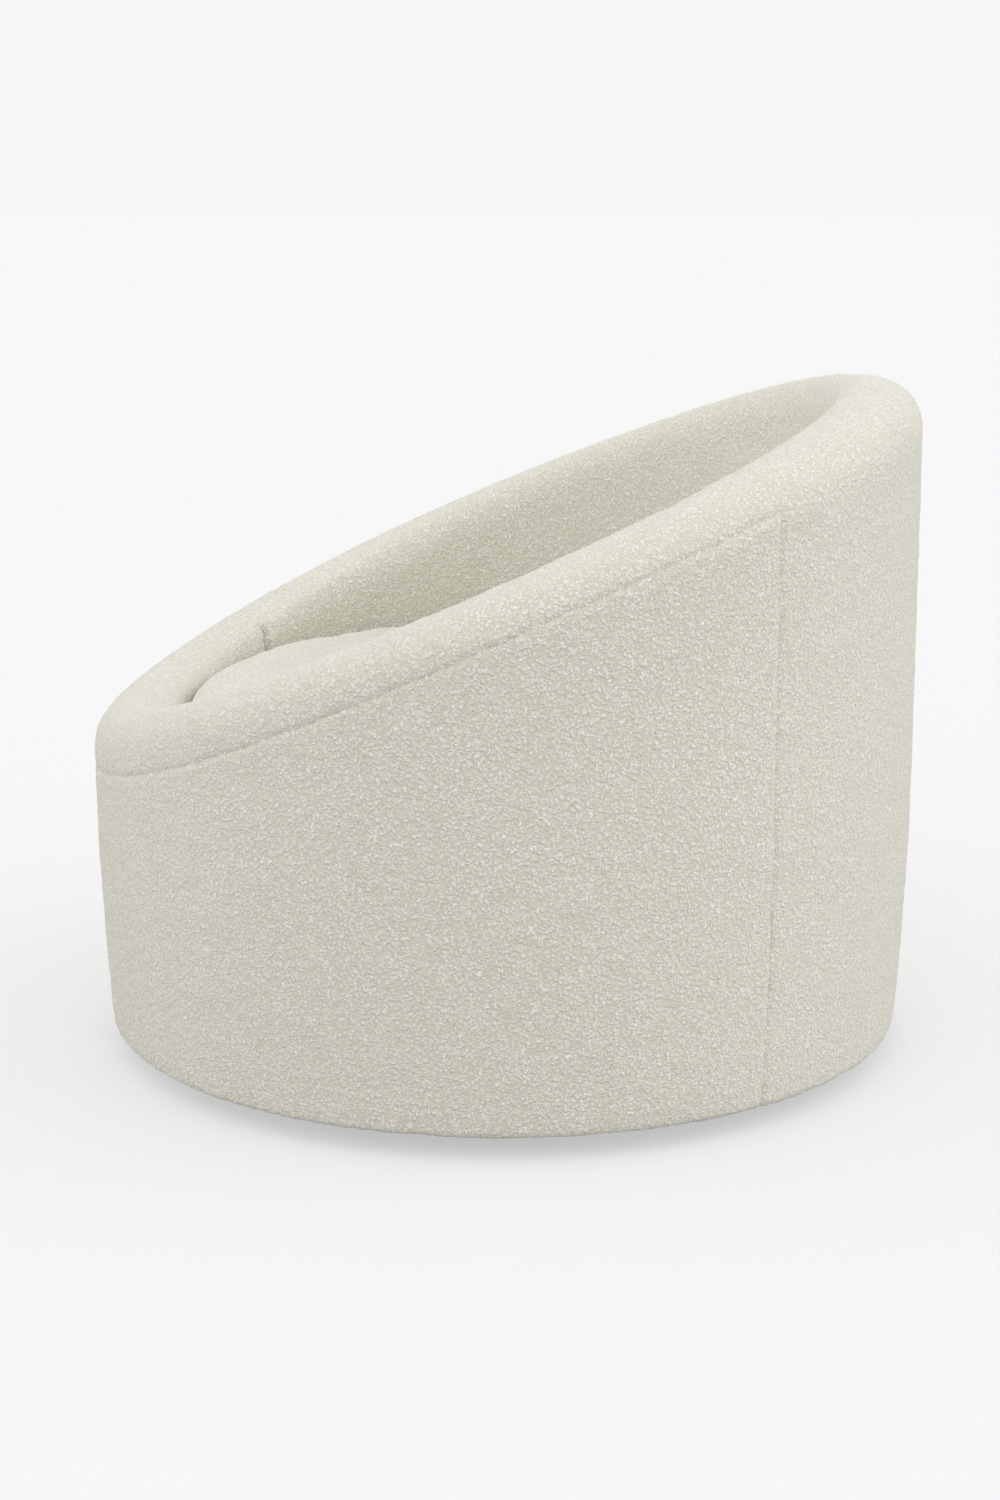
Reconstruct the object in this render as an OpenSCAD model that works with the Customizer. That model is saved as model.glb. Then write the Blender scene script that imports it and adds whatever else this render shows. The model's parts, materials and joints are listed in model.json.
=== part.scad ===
// Round upholstered tub armchair: a drum with a slanted, rolled rim, turning on a hidden swivel.
// Millimetres. +Z is up, the chair faces -Y, and the origin is on the floor, on the swivel axis.
// Angles go round the swivel axis from 0 at the front, over +X, to 180 at the back.

/* [Overall] */
// Diameter of the drum, over the cover
outer_d = 900; // [750:5:1080]
// Height of the crest of the rim at the back
back_h = 728; // [600:1:880]
// Height of the crest of the rim at the front
front_h = 368; // [355:1:445]
// How far the arms bow up above a straight slope from front to back
side_swell = 13; // [0:1:30]
// How much more the front half of the arms bows up than the back half
swell_lead = 0.48; // [0:0.01:0.9]
// Gap between the floor and the lower edge of the drum
skirt_gap = 24; // [20:0.1:36]
// How far the drum tucks in at its lower edge
skirt_tuck = 12; // [2:0.5:16]
// Height over which the tuck fades out
tuck_h = 320; // [200:5:400]

/* [Wall and rim] */
// Thickness of the wall, from cover to cover
wall_t = 100; // [90:1:130]
// Distance of the crest line from the outer face
crest_in = 59; // [45:1:70]
// Height of the rounded part of the rim
rim_rise = 52; // [40:1:65]
// Squareness of the rim's cross section: 2 is an ellipse
rim_square = 2.5; // [2:0.1:4]
// Depth of the seam under the crest at the front
seam_drop_front = 62; // [50:1:80]
// Depth of the seam under the crest at the back
seam_drop_back = 23; // [15:1:45]
// How far the seam sags between the front and the middle of the arms
seam_sag = 10; // [0:1:16]
// Angle from the front at which the sag ends
seam_sag_end = 97; // [80:1:110]
// Angle of the two upright seams, from the front
back_seam_angle = 126.5; // [110:0.5:145]
// Thickness of the looped fabric
cover_t = 4; // [2.5:0.1:6]

/* [Frame] */
// Thickness of the bottom board
board_t = 18; // [12:0.5:25]
// Thickness of the seat ring
seat_ring_t = 18; // [12:0.5:25]
// Width of the seat ring, from its inner edge to the posts
seat_ring_w = 85; // [60:1:110]
// Thickness of the slanted top rail
top_rail_t = 15; // [9:0.5:25]
// Number of posts
post_count = 12; // [8:1:18]
// Thickness of a post
post_t = 18; // [12:0.5:25]
// Thickness of the hardboard skins
skin_t = 3; // [2:0.1:4]
// Least wadding between the outer skin and the cover
wadding_t = 3; // [2:0.5:6]
// Thickness of the foam inside the back and arms
inner_foam_t = 30; // [20:1:36]

/* [Seat] */
// Height of the top of the seat cushion at its middle
seat_h = 405; // [337:1:486]
// Thickness of the seat cushion at its middle
cushion_t = 148; // [123:1:178]
// Free space between the cushion and the wall
cushion_gap = 2.5; // [2:0.1:6]
// Thickness of the foam under the cushion
deck_foam_t = 30; // [20:1:40]
// Number of sinuous springs
spring_count = 5; // [3:2:7]
// Diameter of the spring wire
wire_d = 3.8; // [3:0.1:4.6]
// Distance between neighbouring runs of a spring
spring_pitch = 36; // [30:1:44]

/* [Swivel] */
// Diameter of the plinth
plinth_d = 480; // [400:5:560]
// Height of a floor glide
glide_h = 4; // [3:0.1:5]
// Number of floor glides
glide_count = 6; // [4:1:8]
// Thickness of a swivel plate
plate_t = 3; // [2.5:0.1:4]
// Diameter of the ball race, on the balls' centres
race_d = 260; // [220:1:280]
// Diameter of a ball
ball_d = 8; // [7:0.1:9.6]
// Number of balls
ball_count = 24; // [12:1:36]
// Diameter of the centre bolt
bolt_d = 10; // [8:0.1:12]

/* [Hidden] */
$fn = 96;

// Clearances
layer_gap = 0.5;
face_gap = 1;
rim_gap = 1.5;
roll_gap = 2;
running_gap = 0.05;
ball_gap = 0.15;
thread_gap = 0.1;
sink = 0.01;

// Radii through the wall, from outside to inside
drum_r = outer_d / 2;
crest_r = drum_r - crest_in;
inner_r = drum_r - wall_t;
skin_out_r = drum_r - skirt_tuck - cover_t - face_gap - wadding_t;
post_out_r = skin_out_r - skin_t - layer_gap;
foam_in_r = inner_r + cover_t + layer_gap;
foam_out_r = foam_in_r + inner_foam_t;
skin_in_r = foam_out_r + layer_gap;
post_in_r = skin_in_r + skin_t + layer_gap;

// Heights of the swivel, from the floor up
groove_depth = 1.2;
ball_r = ball_d / 2;
plate_space = 2 * (ball_r + running_gap - groove_depth);
dust_t = 0.8;
hem_space = 0.9;
board_z = skirt_gap + cover_t + hem_space + dust_t;
upper_plate_z = board_z - plate_t;
lower_plate_z = upper_plate_z - plate_space - plate_t;
ball_z = lower_plate_z + plate_t + plate_space / 2;
plinth_t = lower_plate_z - glide_h;
board_top = board_z + board_t;

// Swivel parts
cage_t = 2.5;
cage_w = 24;
plate_rim = 18;
lower_plate_r = race_d / 2 + plate_rim;
bolt_circle_out = lower_plate_r + 12;
upper_plate_r = bolt_circle_out + 15;
bolt_circle_in = race_d / 2 - 40;
screw_r = 2.5;
screw_head_r = 5;
screw_head_t = 2;
screw_bite = 10;
bolt_r = bolt_d / 2;
bush_wall = 3;
bush_flange = 7;
bush_flange_t = 1.5;
bolt_space_r = bolt_r + 15;
bolt_head_r = bolt_r + 4;
bolt_head_t = 6.4;
washer_t = 1.5;
nut_t = 8;
plate_bolt_r = 3;
tee_nut_r = 9;
tee_nut_t = 1.6;
tee_barrel_r = 4;
glide_r = 16;
glide_circle = plinth_d / 2 - 35;
glide_screw_r = 2;
glide_screw_head_r = 4;
glide_recess = 2.2;

// Heights of the seat, from the cushion down
cushion_z = seat_h - cushion_t;
deck_cloth_t = 1;
felt_t = 4;
deck_top = cushion_z - layer_gap;
foam_z = deck_top - deck_cloth_t - deck_foam_t;
felt_z = foam_z - felt_t;
tie_r = 1;
spring_z = felt_z - layer_gap - 2 * tie_r - wire_d / 2;
ring_top = spring_z - wire_d / 2 - 1;
ring_z = ring_top - seat_ring_t;
ring_in_r = post_in_r - seat_ring_w;
deck_r = inner_r - layer_gap;
block_h = 38;
block_w = 34;

// Springs
spring_spacing = 2 * ring_in_r * 0.82 / spring_count;
spring_run = 30;
clip_w = 16;
clip_t = 1.4;
clip_reach = 14;

// Cushion
cushion_r = inner_r - cushion_gap;
cushion_dome = 38;
cushion_under = 25;
cushion_fabric_t = 3;
wrap_t = 15;
zip_t = 0.6;
zip_w = 30;
zip_angle = 42;
slider_t = 1.1;

// Round the chair in steps of about this many degrees
step_angle = 5;
// Steps up the wall and over the rim, and the least share of a climb that has even steps
wall_steps = 6;
roll_steps = 6;
even_part = 0.35;
side_steps = 9;
wadding_steps = 8;

// 0 at the front and 1 at the back
function way_back(a) = (1 - cos(a)) / 2;

// Height of the crest at an angle
function crest_z(a) = front_h + (back_h - front_h) * way_back(a)
    + side_swell * pow(sin(a), 2) * (1 + swell_lead * cos(a));

// Height at which the rim starts to round over
function rim_low(a) = crest_z(a) - rim_rise;

// Height of the seam between the side panel and the rim
function seam_z(a) = crest_z(a) - seam_drop_front
    + (seam_drop_front - seam_drop_back) * way_back(a)
    - seam_sag * sin(180 * min(abs(a), seam_sag_end) / seam_sag_end);

// Radius of the drum's outer face at a height
function face_r(z) = drum_r - skirt_tuck * pow(1 - min(1, max(0, z - skirt_gap) / tuck_h), 2);

// Share of the rim's half width that is left at a height above its foot, for a rim of this rise
function rim_share(up, rise) = pow(max(0, 1 - pow(max(0, min(1, up / rise)), rim_square)),
    1 / rim_square);

// Radius of the outer and inner faces at an angle and height, a depth under the cover's surface
function outer_r(a, z, depth) = z <= rim_low(a) ? face_r(z) - depth
    : crest_r + (face_r(rim_low(a)) - depth - crest_r)
    * rim_share(z - rim_low(a), rim_rise - depth);
function inner_face_r(a, z, depth) = z <= rim_low(a) ? inner_r + depth
    : crest_r - (crest_r - inner_r - depth) * rim_share(z - rim_low(a), rim_rise - depth);

// Heights from a start to the crest: even up the wall, close together where the rim rounds over
function climb_heights(a, from, top) = let (turn = max(rim_low(a), from + even_part * (top - from)))
    concat([for (k = [0:wall_steps - 1]) from + (turn - from) * k / wall_steps],
        [for (k = [0:roll_steps]) turn + (top - turn) * sin(90 * k / roll_steps)]);

// Points up the outer face from a height to the crest, and down the inner face from the crest
function climb(a, from, depth) = [for (z = climb_heights(a, from, crest_z(a) - depth))
    [outer_r(a, z, depth), z]];
function descent(a, depth) = [for (k = [roll_steps - 1:-1:0])
    let (z = rim_low(a) + (rim_rise - depth) * sin(90 * k / roll_steps))
    [inner_face_r(a, z, depth), z]];

function reversed(list) = [for (i = [len(list) - 1:-1:0]) list[i]];

// Equal steps from one angle to another, and all the way round
function steps(from, to) = let (n = ceil((to - from) / step_angle))
    [for (i = [0:n]) from + (to - from) * i / n];
function full_turn() = [for (i = [0:360 / step_angle - 1]) i * step_angle];

// A cross section of [radius, height] points, carried round the swivel axis through the angles
module carried_round(angles, section, closed = true) {
    rings = [for (a = angles) section(a)];
    m = len(angles);
    n = len(rings[0]);
    points = [for (i = [0:m - 1]) for (p = rings[i])
        [p[0] * sin(angles[i]), -p[0] * cos(angles[i]), p[1]]];
    sides = [for (i = [0:closed ? m - 1 : m - 2]) for (k = [0:n - 1])
        [i * n + k, i * n + (k + 1) % n, (i + 1) % m * n + (k + 1) % n, (i + 1) % m * n + k]];
    ends = closed ? [] : [[for (k = [n - 1:-1:0]) k], [for (k = [0:n - 1]) (m - 1) * n + k]];
    polyhedron(points, concat(sides, ends));
}

// A wall between two radii, from a height up to a depth under the rim's foot
module rim_wall(angles, r0, r1, z0, under, closed = true) {
    carried_round(angles, function(a) [[r0, z0], [r1, z0], [r1, rim_low(a) - under],
        [r0, rim_low(a) - under]], closed);
}

module disc(r, z, t) {
    translate([0, 0, z])
        cylinder(r = r, h = t);
}

module ring(r_in, r_out, z, t) {
    difference() {
        disc(r_out, z, t);
        disc(r_in, z - 1, t + 2);
    }
}

// Copies of the children round the axis, starting from an angle
module spread_round(count, r, from = 0) {
    for (i = [0:count - 1])
        rotate([0, 0, from + 360 * i / count])
            translate([0, -r, 0])
                children();
}

module hexagon(r, z, t) {
    translate([0, 0, z])
        cylinder(r = r, h = t, $fn = 6);
}

// Half of the ball groove's ring, to cut into a plate
module race_groove() {
    translate([0, 0, ball_z])
        rotate_extrude()
            translate([race_d / 2, 0])
                circle(r = ball_r + running_gap, $fn = 48);
}

module base_plinth() {
    color("#b58c5a")
    difference() {
        disc(plinth_d / 2, glide_h, plinth_t);
        disc(bolt_r + thread_gap, 0, board_z);
        disc(bolt_head_r + 2, glide_h - 1, bolt_head_t + 1.5);
        spread_round(4, bolt_circle_in, 45)
            disc(screw_r, lower_plate_z - screw_bite, screw_bite + 1);
        spread_round(glide_count, glide_circle)
            disc(glide_screw_r, glide_h - 1, screw_bite + 1);
    }
}

module floor_glides() {
    color("#2b2b2b")
    spread_round(glide_count, glide_circle)
        difference() {
            cylinder(r = glide_r, h = glide_h);
            disc(glide_screw_r + thread_gap, -1, glide_h + 2);
            disc(glide_screw_head_r + thread_gap, -1, glide_recess + 1);
        }
}

module glide_screws() {
    color("#b9bcc0")
    spread_round(glide_count, glide_circle)
        union() {
            disc(glide_screw_r, glide_recess - 1, glide_h + screw_bite - glide_recess);
            disc(glide_screw_head_r, glide_recess - 1.6, 1.6);
        }
}

module lower_swivel_plate() {
    color("#8d9196")
    difference() {
        disc(lower_plate_r, lower_plate_z, plate_t);
        race_groove();
        disc(bolt_r + thread_gap, 0, board_z);
        spread_round(4, bolt_circle_in, 45)
            disc(screw_r + thread_gap, 0, board_z);
    }
}

module lower_plate_screws() {
    color("#b9bcc0")
    spread_round(4, bolt_circle_in, 45)
        union() {
            disc(screw_r, lower_plate_z - screw_bite, screw_bite + plate_t);
            disc(screw_head_r, lower_plate_z + plate_t, screw_head_t);
        }
}

bush_top = board_z + bush_flange_t;
washer_z = bush_top + 2 * running_gap;
nut_z = washer_z + washer_t;

module centre_bolt() {
    color("#b9bcc0")
    union() {
        hexagon(bolt_head_r, glide_h + 0.5, bolt_head_t);
        disc(bolt_r, glide_h + 0.5, nut_z + nut_t + 2 - glide_h);
    }
}

module centre_washer() {
    color("#b9bcc0")
    ring(bolt_r, bolt_r + bush_flange, washer_z, washer_t);
}

module centre_nut() {
    color("#9fa3a8")
    difference() {
        hexagon(bolt_r + 4.5, nut_z, nut_t);
        disc(bolt_r, nut_z - 1, nut_t + 2);
    }
}

module ball_cage() {
    color("#c9ccd0")
    difference() {
        ring(race_d / 2 - cage_w / 2, race_d / 2 + cage_w / 2, ball_z - cage_t / 2, cage_t);
        spread_round(ball_count, race_d / 2)
            disc(ball_r + ball_gap, ball_z - cage_t, 2 * cage_t);
    }
}

module bearing_balls() {
    color("#e4e6e8")
    spread_round(ball_count, race_d / 2)
        translate([0, 0, ball_z])
            sphere(r = ball_r, $fn = 32);
}

module upper_swivel_plate() {
    color("#8d9196")
    difference() {
        disc(upper_plate_r, upper_plate_z, plate_t);
        race_groove();
        disc(bolt_r + bush_wall, 0, 2 * board_z);
        spread_round(4, bolt_circle_out)
            disc(plate_bolt_r + thread_gap, 0, 2 * board_z);
    }
}

module centre_bush() {
    color("#efeee9")
    difference() {
        union() {
            disc(bolt_r + bush_wall, upper_plate_z, plate_t);
            disc(bolt_r + bush_flange, board_z, bush_flange_t);
        }
        disc(bolt_r + running_gap, 0, 2 * board_z);
    }
}

module upper_plate_bolts() {
    color("#b9bcc0")
    spread_round(4, bolt_circle_out)
        union() {
            disc(screw_head_r, upper_plate_z - screw_head_t, screw_head_t);
            disc(plate_bolt_r, upper_plate_z, plate_t + board_t + tee_nut_t + 1);
        }
}

module tee_nuts() {
    color("#c2b280")
    spread_round(4, bolt_circle_out)
        difference() {
            union() {
                disc(tee_barrel_r, board_top - board_t / 2, board_t / 2);
                disc(tee_nut_r, board_top, tee_nut_t);
            }
            disc(plate_bolt_r, board_z, 2 * board_t);
        }
}

module bottom_board() {
    color("#c9a26b")
    difference() {
        disc(post_out_r, board_z, board_t);
        disc(bolt_space_r, board_z - 1, board_t + 2);
        spread_round(4, bolt_circle_out)
            disc(plate_bolt_r + thread_gap, board_z - 1, board_t + 2);
        spread_round(4, bolt_circle_out)
            disc(tee_barrel_r, board_top - board_t / 2, board_t);
    }
}

// Half the angle that a post takes up
half_post_angle = asin(post_t / 2 / post_in_r);

module frame_posts() {
    color("#d2ad76")
    for (i = [0:post_count - 1])
        rim_wall([360 * i / post_count - half_post_angle, 360 * i / post_count + half_post_angle],
            post_in_r, post_out_r, board_top, rim_gap + top_rail_t + layer_gap, false);
}

module ring_blocks() {
    color("#b58c5a")
    spread_round(post_count, post_in_r - layer_gap)
        translate([-post_t, 0, ring_z - block_h])
            cube([2 * post_t, block_w, block_h]);
}

module seat_ring() {
    color("#c9a26b")
    ring(ring_in_r, post_in_r - skin_t - layer_gap, ring_z, seat_ring_t);
}

module top_rail() {
    color("#d2ad76")
    carried_round(full_turn(), function(a) let (top = rim_low(a) - rim_gap) [
        [post_in_r, top - top_rail_t], [post_out_r, top - top_rail_t],
        [post_out_r, top], [post_in_r, top]]);
}

module outer_skin() {
    color("#8a6b45")
    rim_wall(full_turn(), skin_out_r - skin_t, skin_out_r, board_z, rim_gap);
}

module inner_skin() {
    color("#8a6b45")
    rim_wall(full_turn(), skin_in_r, skin_in_r + skin_t, ring_top, rim_gap);
}

// Half the length of the opening of the seat ring along a line beside the middle
function half_opening(x) = sqrt(pow(ring_in_r, 2) - pow(x, 2));
spring_lines = [for (i = [0:spring_count - 1]) (i - (spring_count - 1) / 2) * spring_spacing];

module spring_clips() {
    color("#9fa3a8")
    for (x = spring_lines)
        for (side = [-1, 1])
            translate([x, side * half_opening(abs(x) + clip_w / 2), ring_top])
                scale([1, side, 1])
                    union() {
                        translate([-clip_w / 2, 0, 0])
                            cube([clip_w, clip_reach, clip_t / 2]);
                        translate([-clip_w / 2, 0, wire_d + 1])
                            cube([clip_w, clip_reach / 2, clip_t / 2]);
                        translate([-clip_w / 2, clip_reach / 2, 0])
                            cube([clip_w, clip_t, wire_d + 1 + clip_t / 2]);
                    }
}

// The wire runs to and fro across its line, with a half round turn at the end of each run
function turn_points(x, y, r, side) = [for (t = [-90:45:90]) [x + side * r * cos(t), y + r * sin(t)]];
function spring_path(x, half, runs) = let (
    pitch = 2 * half / runs,
    last_side = runs % 2 == 0 ? 1 : -1) concat(
    [[x - spring_run / 2, -half]],
    [for (k = [0:runs - 1]) let (side = k % 2 == 0 ? 1 : -1)
        each turn_points(x + side * spring_run / 2, (k + 0.5) * pitch - half, pitch / 2, side)],
    [[x + last_side * spring_run / 2, half]]);

// A round wire of six sides that follows a flat path at a height
module flat_wire(path, z, r, sides = 6) {
    last = len(path) - 1;
    points = [for (i = [0:last])
        let (ahead = path[min(last, i + 1)] - path[max(0, i - 1)],
            across = [ahead[1], -ahead[0]] / norm(ahead))
        for (k = [0:sides - 1]) let (t = 360 * k / sides)
            [path[i][0] + r * cos(t) * across[0], path[i][1] + r * cos(t) * across[1], z + r * sin(t)]];
    faces = [for (i = [0:last - 1]) for (k = [0:sides - 1])
        [i * sides + k, i * sides + (k + 1) % sides, (i + 1) * sides + (k + 1) % sides,
            (i + 1) * sides + k]];
    ends = [[for (k = [sides - 1:-1:0]) k], [for (k = [0:sides - 1]) last * sides + k]];
    polyhedron(points, concat(faces, ends));
}

module seat_springs() {
    color("#6f7378")
    for (x = spring_lines) {
        half = half_opening(abs(x) + clip_w / 2) + clip_reach / 2 - wire_d / 2 - 0.2;
        flat_wire(spring_path(x, half, round(2 * half / spring_pitch)), spring_z, wire_d / 2);
    }
}

module spring_ties() {
    color("#e9e4d6")
    for (y = [-1, 1] * ring_in_r / 3)
        translate([-ring_in_r * 0.84, y, spring_z + wire_d / 2 + tie_r])
            rotate([0, 90, 0])
                cylinder(r = tie_r, h = 2 * ring_in_r * 0.84, $fn = 24);
}

module deck_felt() {
    color("#7c7f82")
    disc(deck_r, felt_z, felt_t - sink);
}

module deck_foam() {
    color("#e8d9a8")
    disc(deck_r, foam_z, deck_foam_t);
}

module deck_cloth() {
    color("#e7e1d3")
    disc(deck_r, deck_top - deck_cloth_t, deck_cloth_t);
}

module outer_wadding() {
    color("#f4f4f2")
    carried_round(full_turn(), function(a) let (top = rim_low(a) - rim_gap) concat(
        [[skin_out_r + layer_gap, board_z]],
        [for (k = [0:wadding_steps]) let (z = board_z + (top - board_z) * k / wadding_steps)
            [face_r(z) - cover_t - face_gap, z]],
        [[skin_out_r + layer_gap, top]]));
}

module inner_foam() {
    color("#e8d9a8")
    rim_wall(full_turn(), foam_in_r, foam_out_r, ring_top, rim_gap);
}

module rim_foam() {
    color("#e8d9a8")
    carried_round(full_turn(), function(a) concat(
        climb(a, rim_low(a), cover_t + roll_gap),
        descent(a, cover_t + roll_gap)));
}

// The covers meet at the upright seams with this much between their edges, in degrees
seam_gap = 0.25;
// The rim's edge turns down into the upright seam in this many steps
turn_steps = 12;

// The angles through which the rim's edge turns down, from its front end to the hem
function turn_angles() = [for (k = [0:turn_steps])
    back_seam_angle - seam_gap + 2 * seam_gap * k / turn_steps];

// How far the edge has turned down at an angle, from 0 on the rim seam to 1 at the hem
function turned_down(a) = pow(
    max(0, min(1, (abs(a) - back_seam_angle + seam_gap) / (2 * seam_gap))), 2);

// The rim goes all the way round; behind the seams the same cloth runs down the back
module rim_cover() {
    color("#ece8dc")
    carried_round(
        concat(steps(-180 + step_angle, -back_seam_angle - seam_gap - 1),
            [for (a = reversed(turn_angles())) -a],
            steps(-back_seam_angle + seam_gap + 1, back_seam_angle - seam_gap - 1),
            turn_angles(),
            steps(back_seam_angle + seam_gap + 1, 180)),
        function(a) let (foot = seam_z(a) + (skirt_gap - seam_z(a)) * turned_down(a)) concat(
            climb(a, foot, 0), descent(a, 0), reversed(descent(a, cover_t)),
            reversed(climb(a, foot, cover_t))));
}

// The cloth inside the back and arms, from the rim's inner foot down to the deck
module inside_cover() {
    color("#ece8dc")
    rim_wall(full_turn(), inner_r, inner_r + cover_t, deck_top, layer_gap);
}

// The side panel runs round the front, from one upright seam to the other
module side_cover() {
    color("#ece8dc")
    carried_round(steps(-back_seam_angle + 2 * seam_gap, back_seam_angle - 2 * seam_gap),
        function(a) let (
            top = seam_z(a) - layer_gap,
            heights = [for (k = [0:side_steps]) skirt_gap
                + (top - skirt_gap) * sin(90 * k / side_steps)]) concat(
            [for (z = heights) [outer_r(a, z, 0), z]],
            [for (z = reversed(heights)) [outer_r(a, z, cover_t), z]]),
        false);
}

module dust_cover() {
    color("#26262a")
    ring(upper_plate_r + 4, skin_out_r, board_z - dust_t, dust_t - sink);
}

staple_count = 60;

module dust_staples() {
    color("#c9ccd0")
    spread_round(staple_count, skin_out_r - 14, 3)
        translate([-5, -0.6, board_z - dust_t - 0.6])
            cube([10, 1.2, 0.6]);
}

// Half outline of the cushion, a depth under its cover
function cushion_outline(depth) = concat(
    [for (t = [0:6:90]) let (r = (cushion_r - depth) * pow(sin(t), 1 / 4))
        [r, cushion_z + cushion_under - (cushion_under - depth) * cos(t)]],
    [for (t = [90:-6:0]) let (r = (cushion_r - depth) * pow(sin(t), 1 / 5))
        [r, seat_h - cushion_dome + (cushion_dome - depth) * cos(t)]]);

module cushion_solid(depth) {
    rotate_extrude()
        polygon(cushion_outline(depth));
}

module cushion_core() {
    color("#e8d9a8")
    cushion_solid(cushion_fabric_t + wrap_t + 2 * layer_gap);
}

module cushion_wrap() {
    color("#f4f4f2")
    difference() {
        cushion_solid(cushion_fabric_t + layer_gap);
        cushion_solid(cushion_fabric_t + wrap_t + layer_gap);
    }
}

module cushion_cover() {
    color("#efece2")
    difference() {
        cushion_solid(0);
        cushion_solid(cushion_fabric_t);
    }
}

zip_z = cushion_z + cushion_under + 8;

// A strip that lies on the side of the cushion, about the back
module side_strip(half_angle, thickness, width, z) {
    rotate([0, 0, 90 - half_angle])
        rotate_extrude(angle = 2 * half_angle)
            translate([cushion_r + sink, z])
                square([thickness, width]);
}

module cushion_zip() {
    color("#d9d4c6")
    side_strip(zip_angle, zip_t, zip_w, zip_z);
}

module zip_slider() {
    color("#b9bcc0")
    rotate([0, 0, zip_angle + 2])
        side_strip(1, slider_t, 8, zip_z + zip_w / 2 - 4);
}

base_plinth();
floor_glides();
glide_screws();
lower_swivel_plate();
lower_plate_screws();
centre_bolt();
centre_washer();
centre_nut();
ball_cage();
bearing_balls();
upper_swivel_plate();
centre_bush();
upper_plate_bolts();
tee_nuts();
bottom_board();
frame_posts();
ring_blocks();
seat_ring();
top_rail();
outer_skin();
inner_skin();
spring_clips();
seat_springs();
spring_ties();
deck_felt();
deck_foam();
deck_cloth();
outer_wadding();
inner_foam();
rim_foam();
rim_cover();
inside_cover();
side_cover();
dust_cover();
dust_staples();
cushion_core();
cushion_wrap();
cushion_cover();
cushion_zip();
zip_slider();
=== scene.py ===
# %% [markdown]
# # A round swivel armchair in looped ivory cloth
# The chair is one drum. A plywood tub stands on a hidden swivel, foam is glued round it, and three
# cloths cover the foam: a side panel, a rim cover that also runs down the back, and an inside
# cover. A loose round cushion fills the tub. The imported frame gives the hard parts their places,
# and this file dresses them.

# %% Load the frame
import json
from math import cos, pi, radians, sin

import bmesh
import bpy
import numpy as np
from mathutils import Matrix, Vector
from mathutils.bvhtree import BVHTree


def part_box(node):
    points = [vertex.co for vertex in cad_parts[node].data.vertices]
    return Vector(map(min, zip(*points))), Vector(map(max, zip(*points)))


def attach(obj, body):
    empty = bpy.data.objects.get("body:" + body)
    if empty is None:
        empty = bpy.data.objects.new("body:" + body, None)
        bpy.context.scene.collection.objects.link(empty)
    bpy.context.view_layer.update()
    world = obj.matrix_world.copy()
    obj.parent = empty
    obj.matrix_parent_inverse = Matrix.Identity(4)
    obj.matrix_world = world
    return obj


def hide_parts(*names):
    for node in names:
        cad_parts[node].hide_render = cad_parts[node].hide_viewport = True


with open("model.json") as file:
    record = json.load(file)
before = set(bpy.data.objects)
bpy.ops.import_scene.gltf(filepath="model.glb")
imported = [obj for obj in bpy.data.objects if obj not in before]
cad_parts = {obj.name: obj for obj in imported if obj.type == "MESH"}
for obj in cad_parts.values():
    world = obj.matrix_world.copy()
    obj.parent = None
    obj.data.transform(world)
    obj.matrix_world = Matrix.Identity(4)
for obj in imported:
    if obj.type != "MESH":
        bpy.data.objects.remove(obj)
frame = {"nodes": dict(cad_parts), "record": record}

scene = bpy.context.scene
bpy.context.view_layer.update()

# %% [markdown]
# ## The camera first
# A chair is judged from the side that a buyer sees first. Here that is the sitter's left, from a
# little above the rim. A long lens three metres away keeps the drum's sides nearly upright, and
# a small shift sets the chair just above the middle of the frame.

# %% Camera
AIM = Vector((0, 0, 0.37))
CAMERA_DISTANCE = 2.981
CAMERA_HEIGHT_ANGLE = radians(11.98)
LENS, SENSOR = 64.46, 36
SHIFT = (-0.0024, -0.0326)
camera_data = bpy.data.cameras.new("camera")
camera_data.lens = LENS
camera_data.sensor_width = SENSOR
camera_data.shift_x, camera_data.shift_y = SHIFT
camera = bpy.data.objects.new("camera", camera_data)
towards_camera = Vector((cos(CAMERA_HEIGHT_ANGLE), 0, sin(CAMERA_HEIGHT_ANGLE)))
camera.location = AIM + CAMERA_DISTANCE * towards_camera
camera.rotation_euler = (-towards_camera).to_track_quat("-Z", "Y").to_euler()
scene.collection.objects.link(camera)
scene.camera = camera
print("camera at", [round(c, 3) for c in camera.location])

# %% [markdown]
# ## The drum's shape
# Every cloth lies on one shape, so the shape is worked out once. Going round the chair, the crest
# of the rim climbs from the low front to the high back. At each angle the cross section runs from
# the hem, up the outer wall, over the rolled rim and down inside to the deck. The radii and
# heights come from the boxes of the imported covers; the rest are the upholsterer's own measures.

# %% Sizes from the frame
rim_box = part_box("rim_cover")
inside_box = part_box("inside_cover")
COVER_THICKNESS = 0.004
CREST_INSET = 0.059
DRUM_RADIUS = rim_box[1][0]
HEM_HEIGHT = rim_box[0][2]
BACK_CREST = rim_box[1][2]
INNER_RADIUS = inside_box[1][0] - COVER_THICKNESS
DECK_HEIGHT = inside_box[0][2]
CREST_RADIUS = DRUM_RADIUS - CREST_INSET
rim_points = [v.co for v in frame["nodes"]["rim_cover"].data.vertices]
FRONT_CREST = max(p.z for p in rim_points if p.y < -CREST_RADIUS)
print(f"drum {2 * DRUM_RADIUS:.3f} m across, crest {FRONT_CREST:.3f} to {BACK_CREST:.3f} m")

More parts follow.
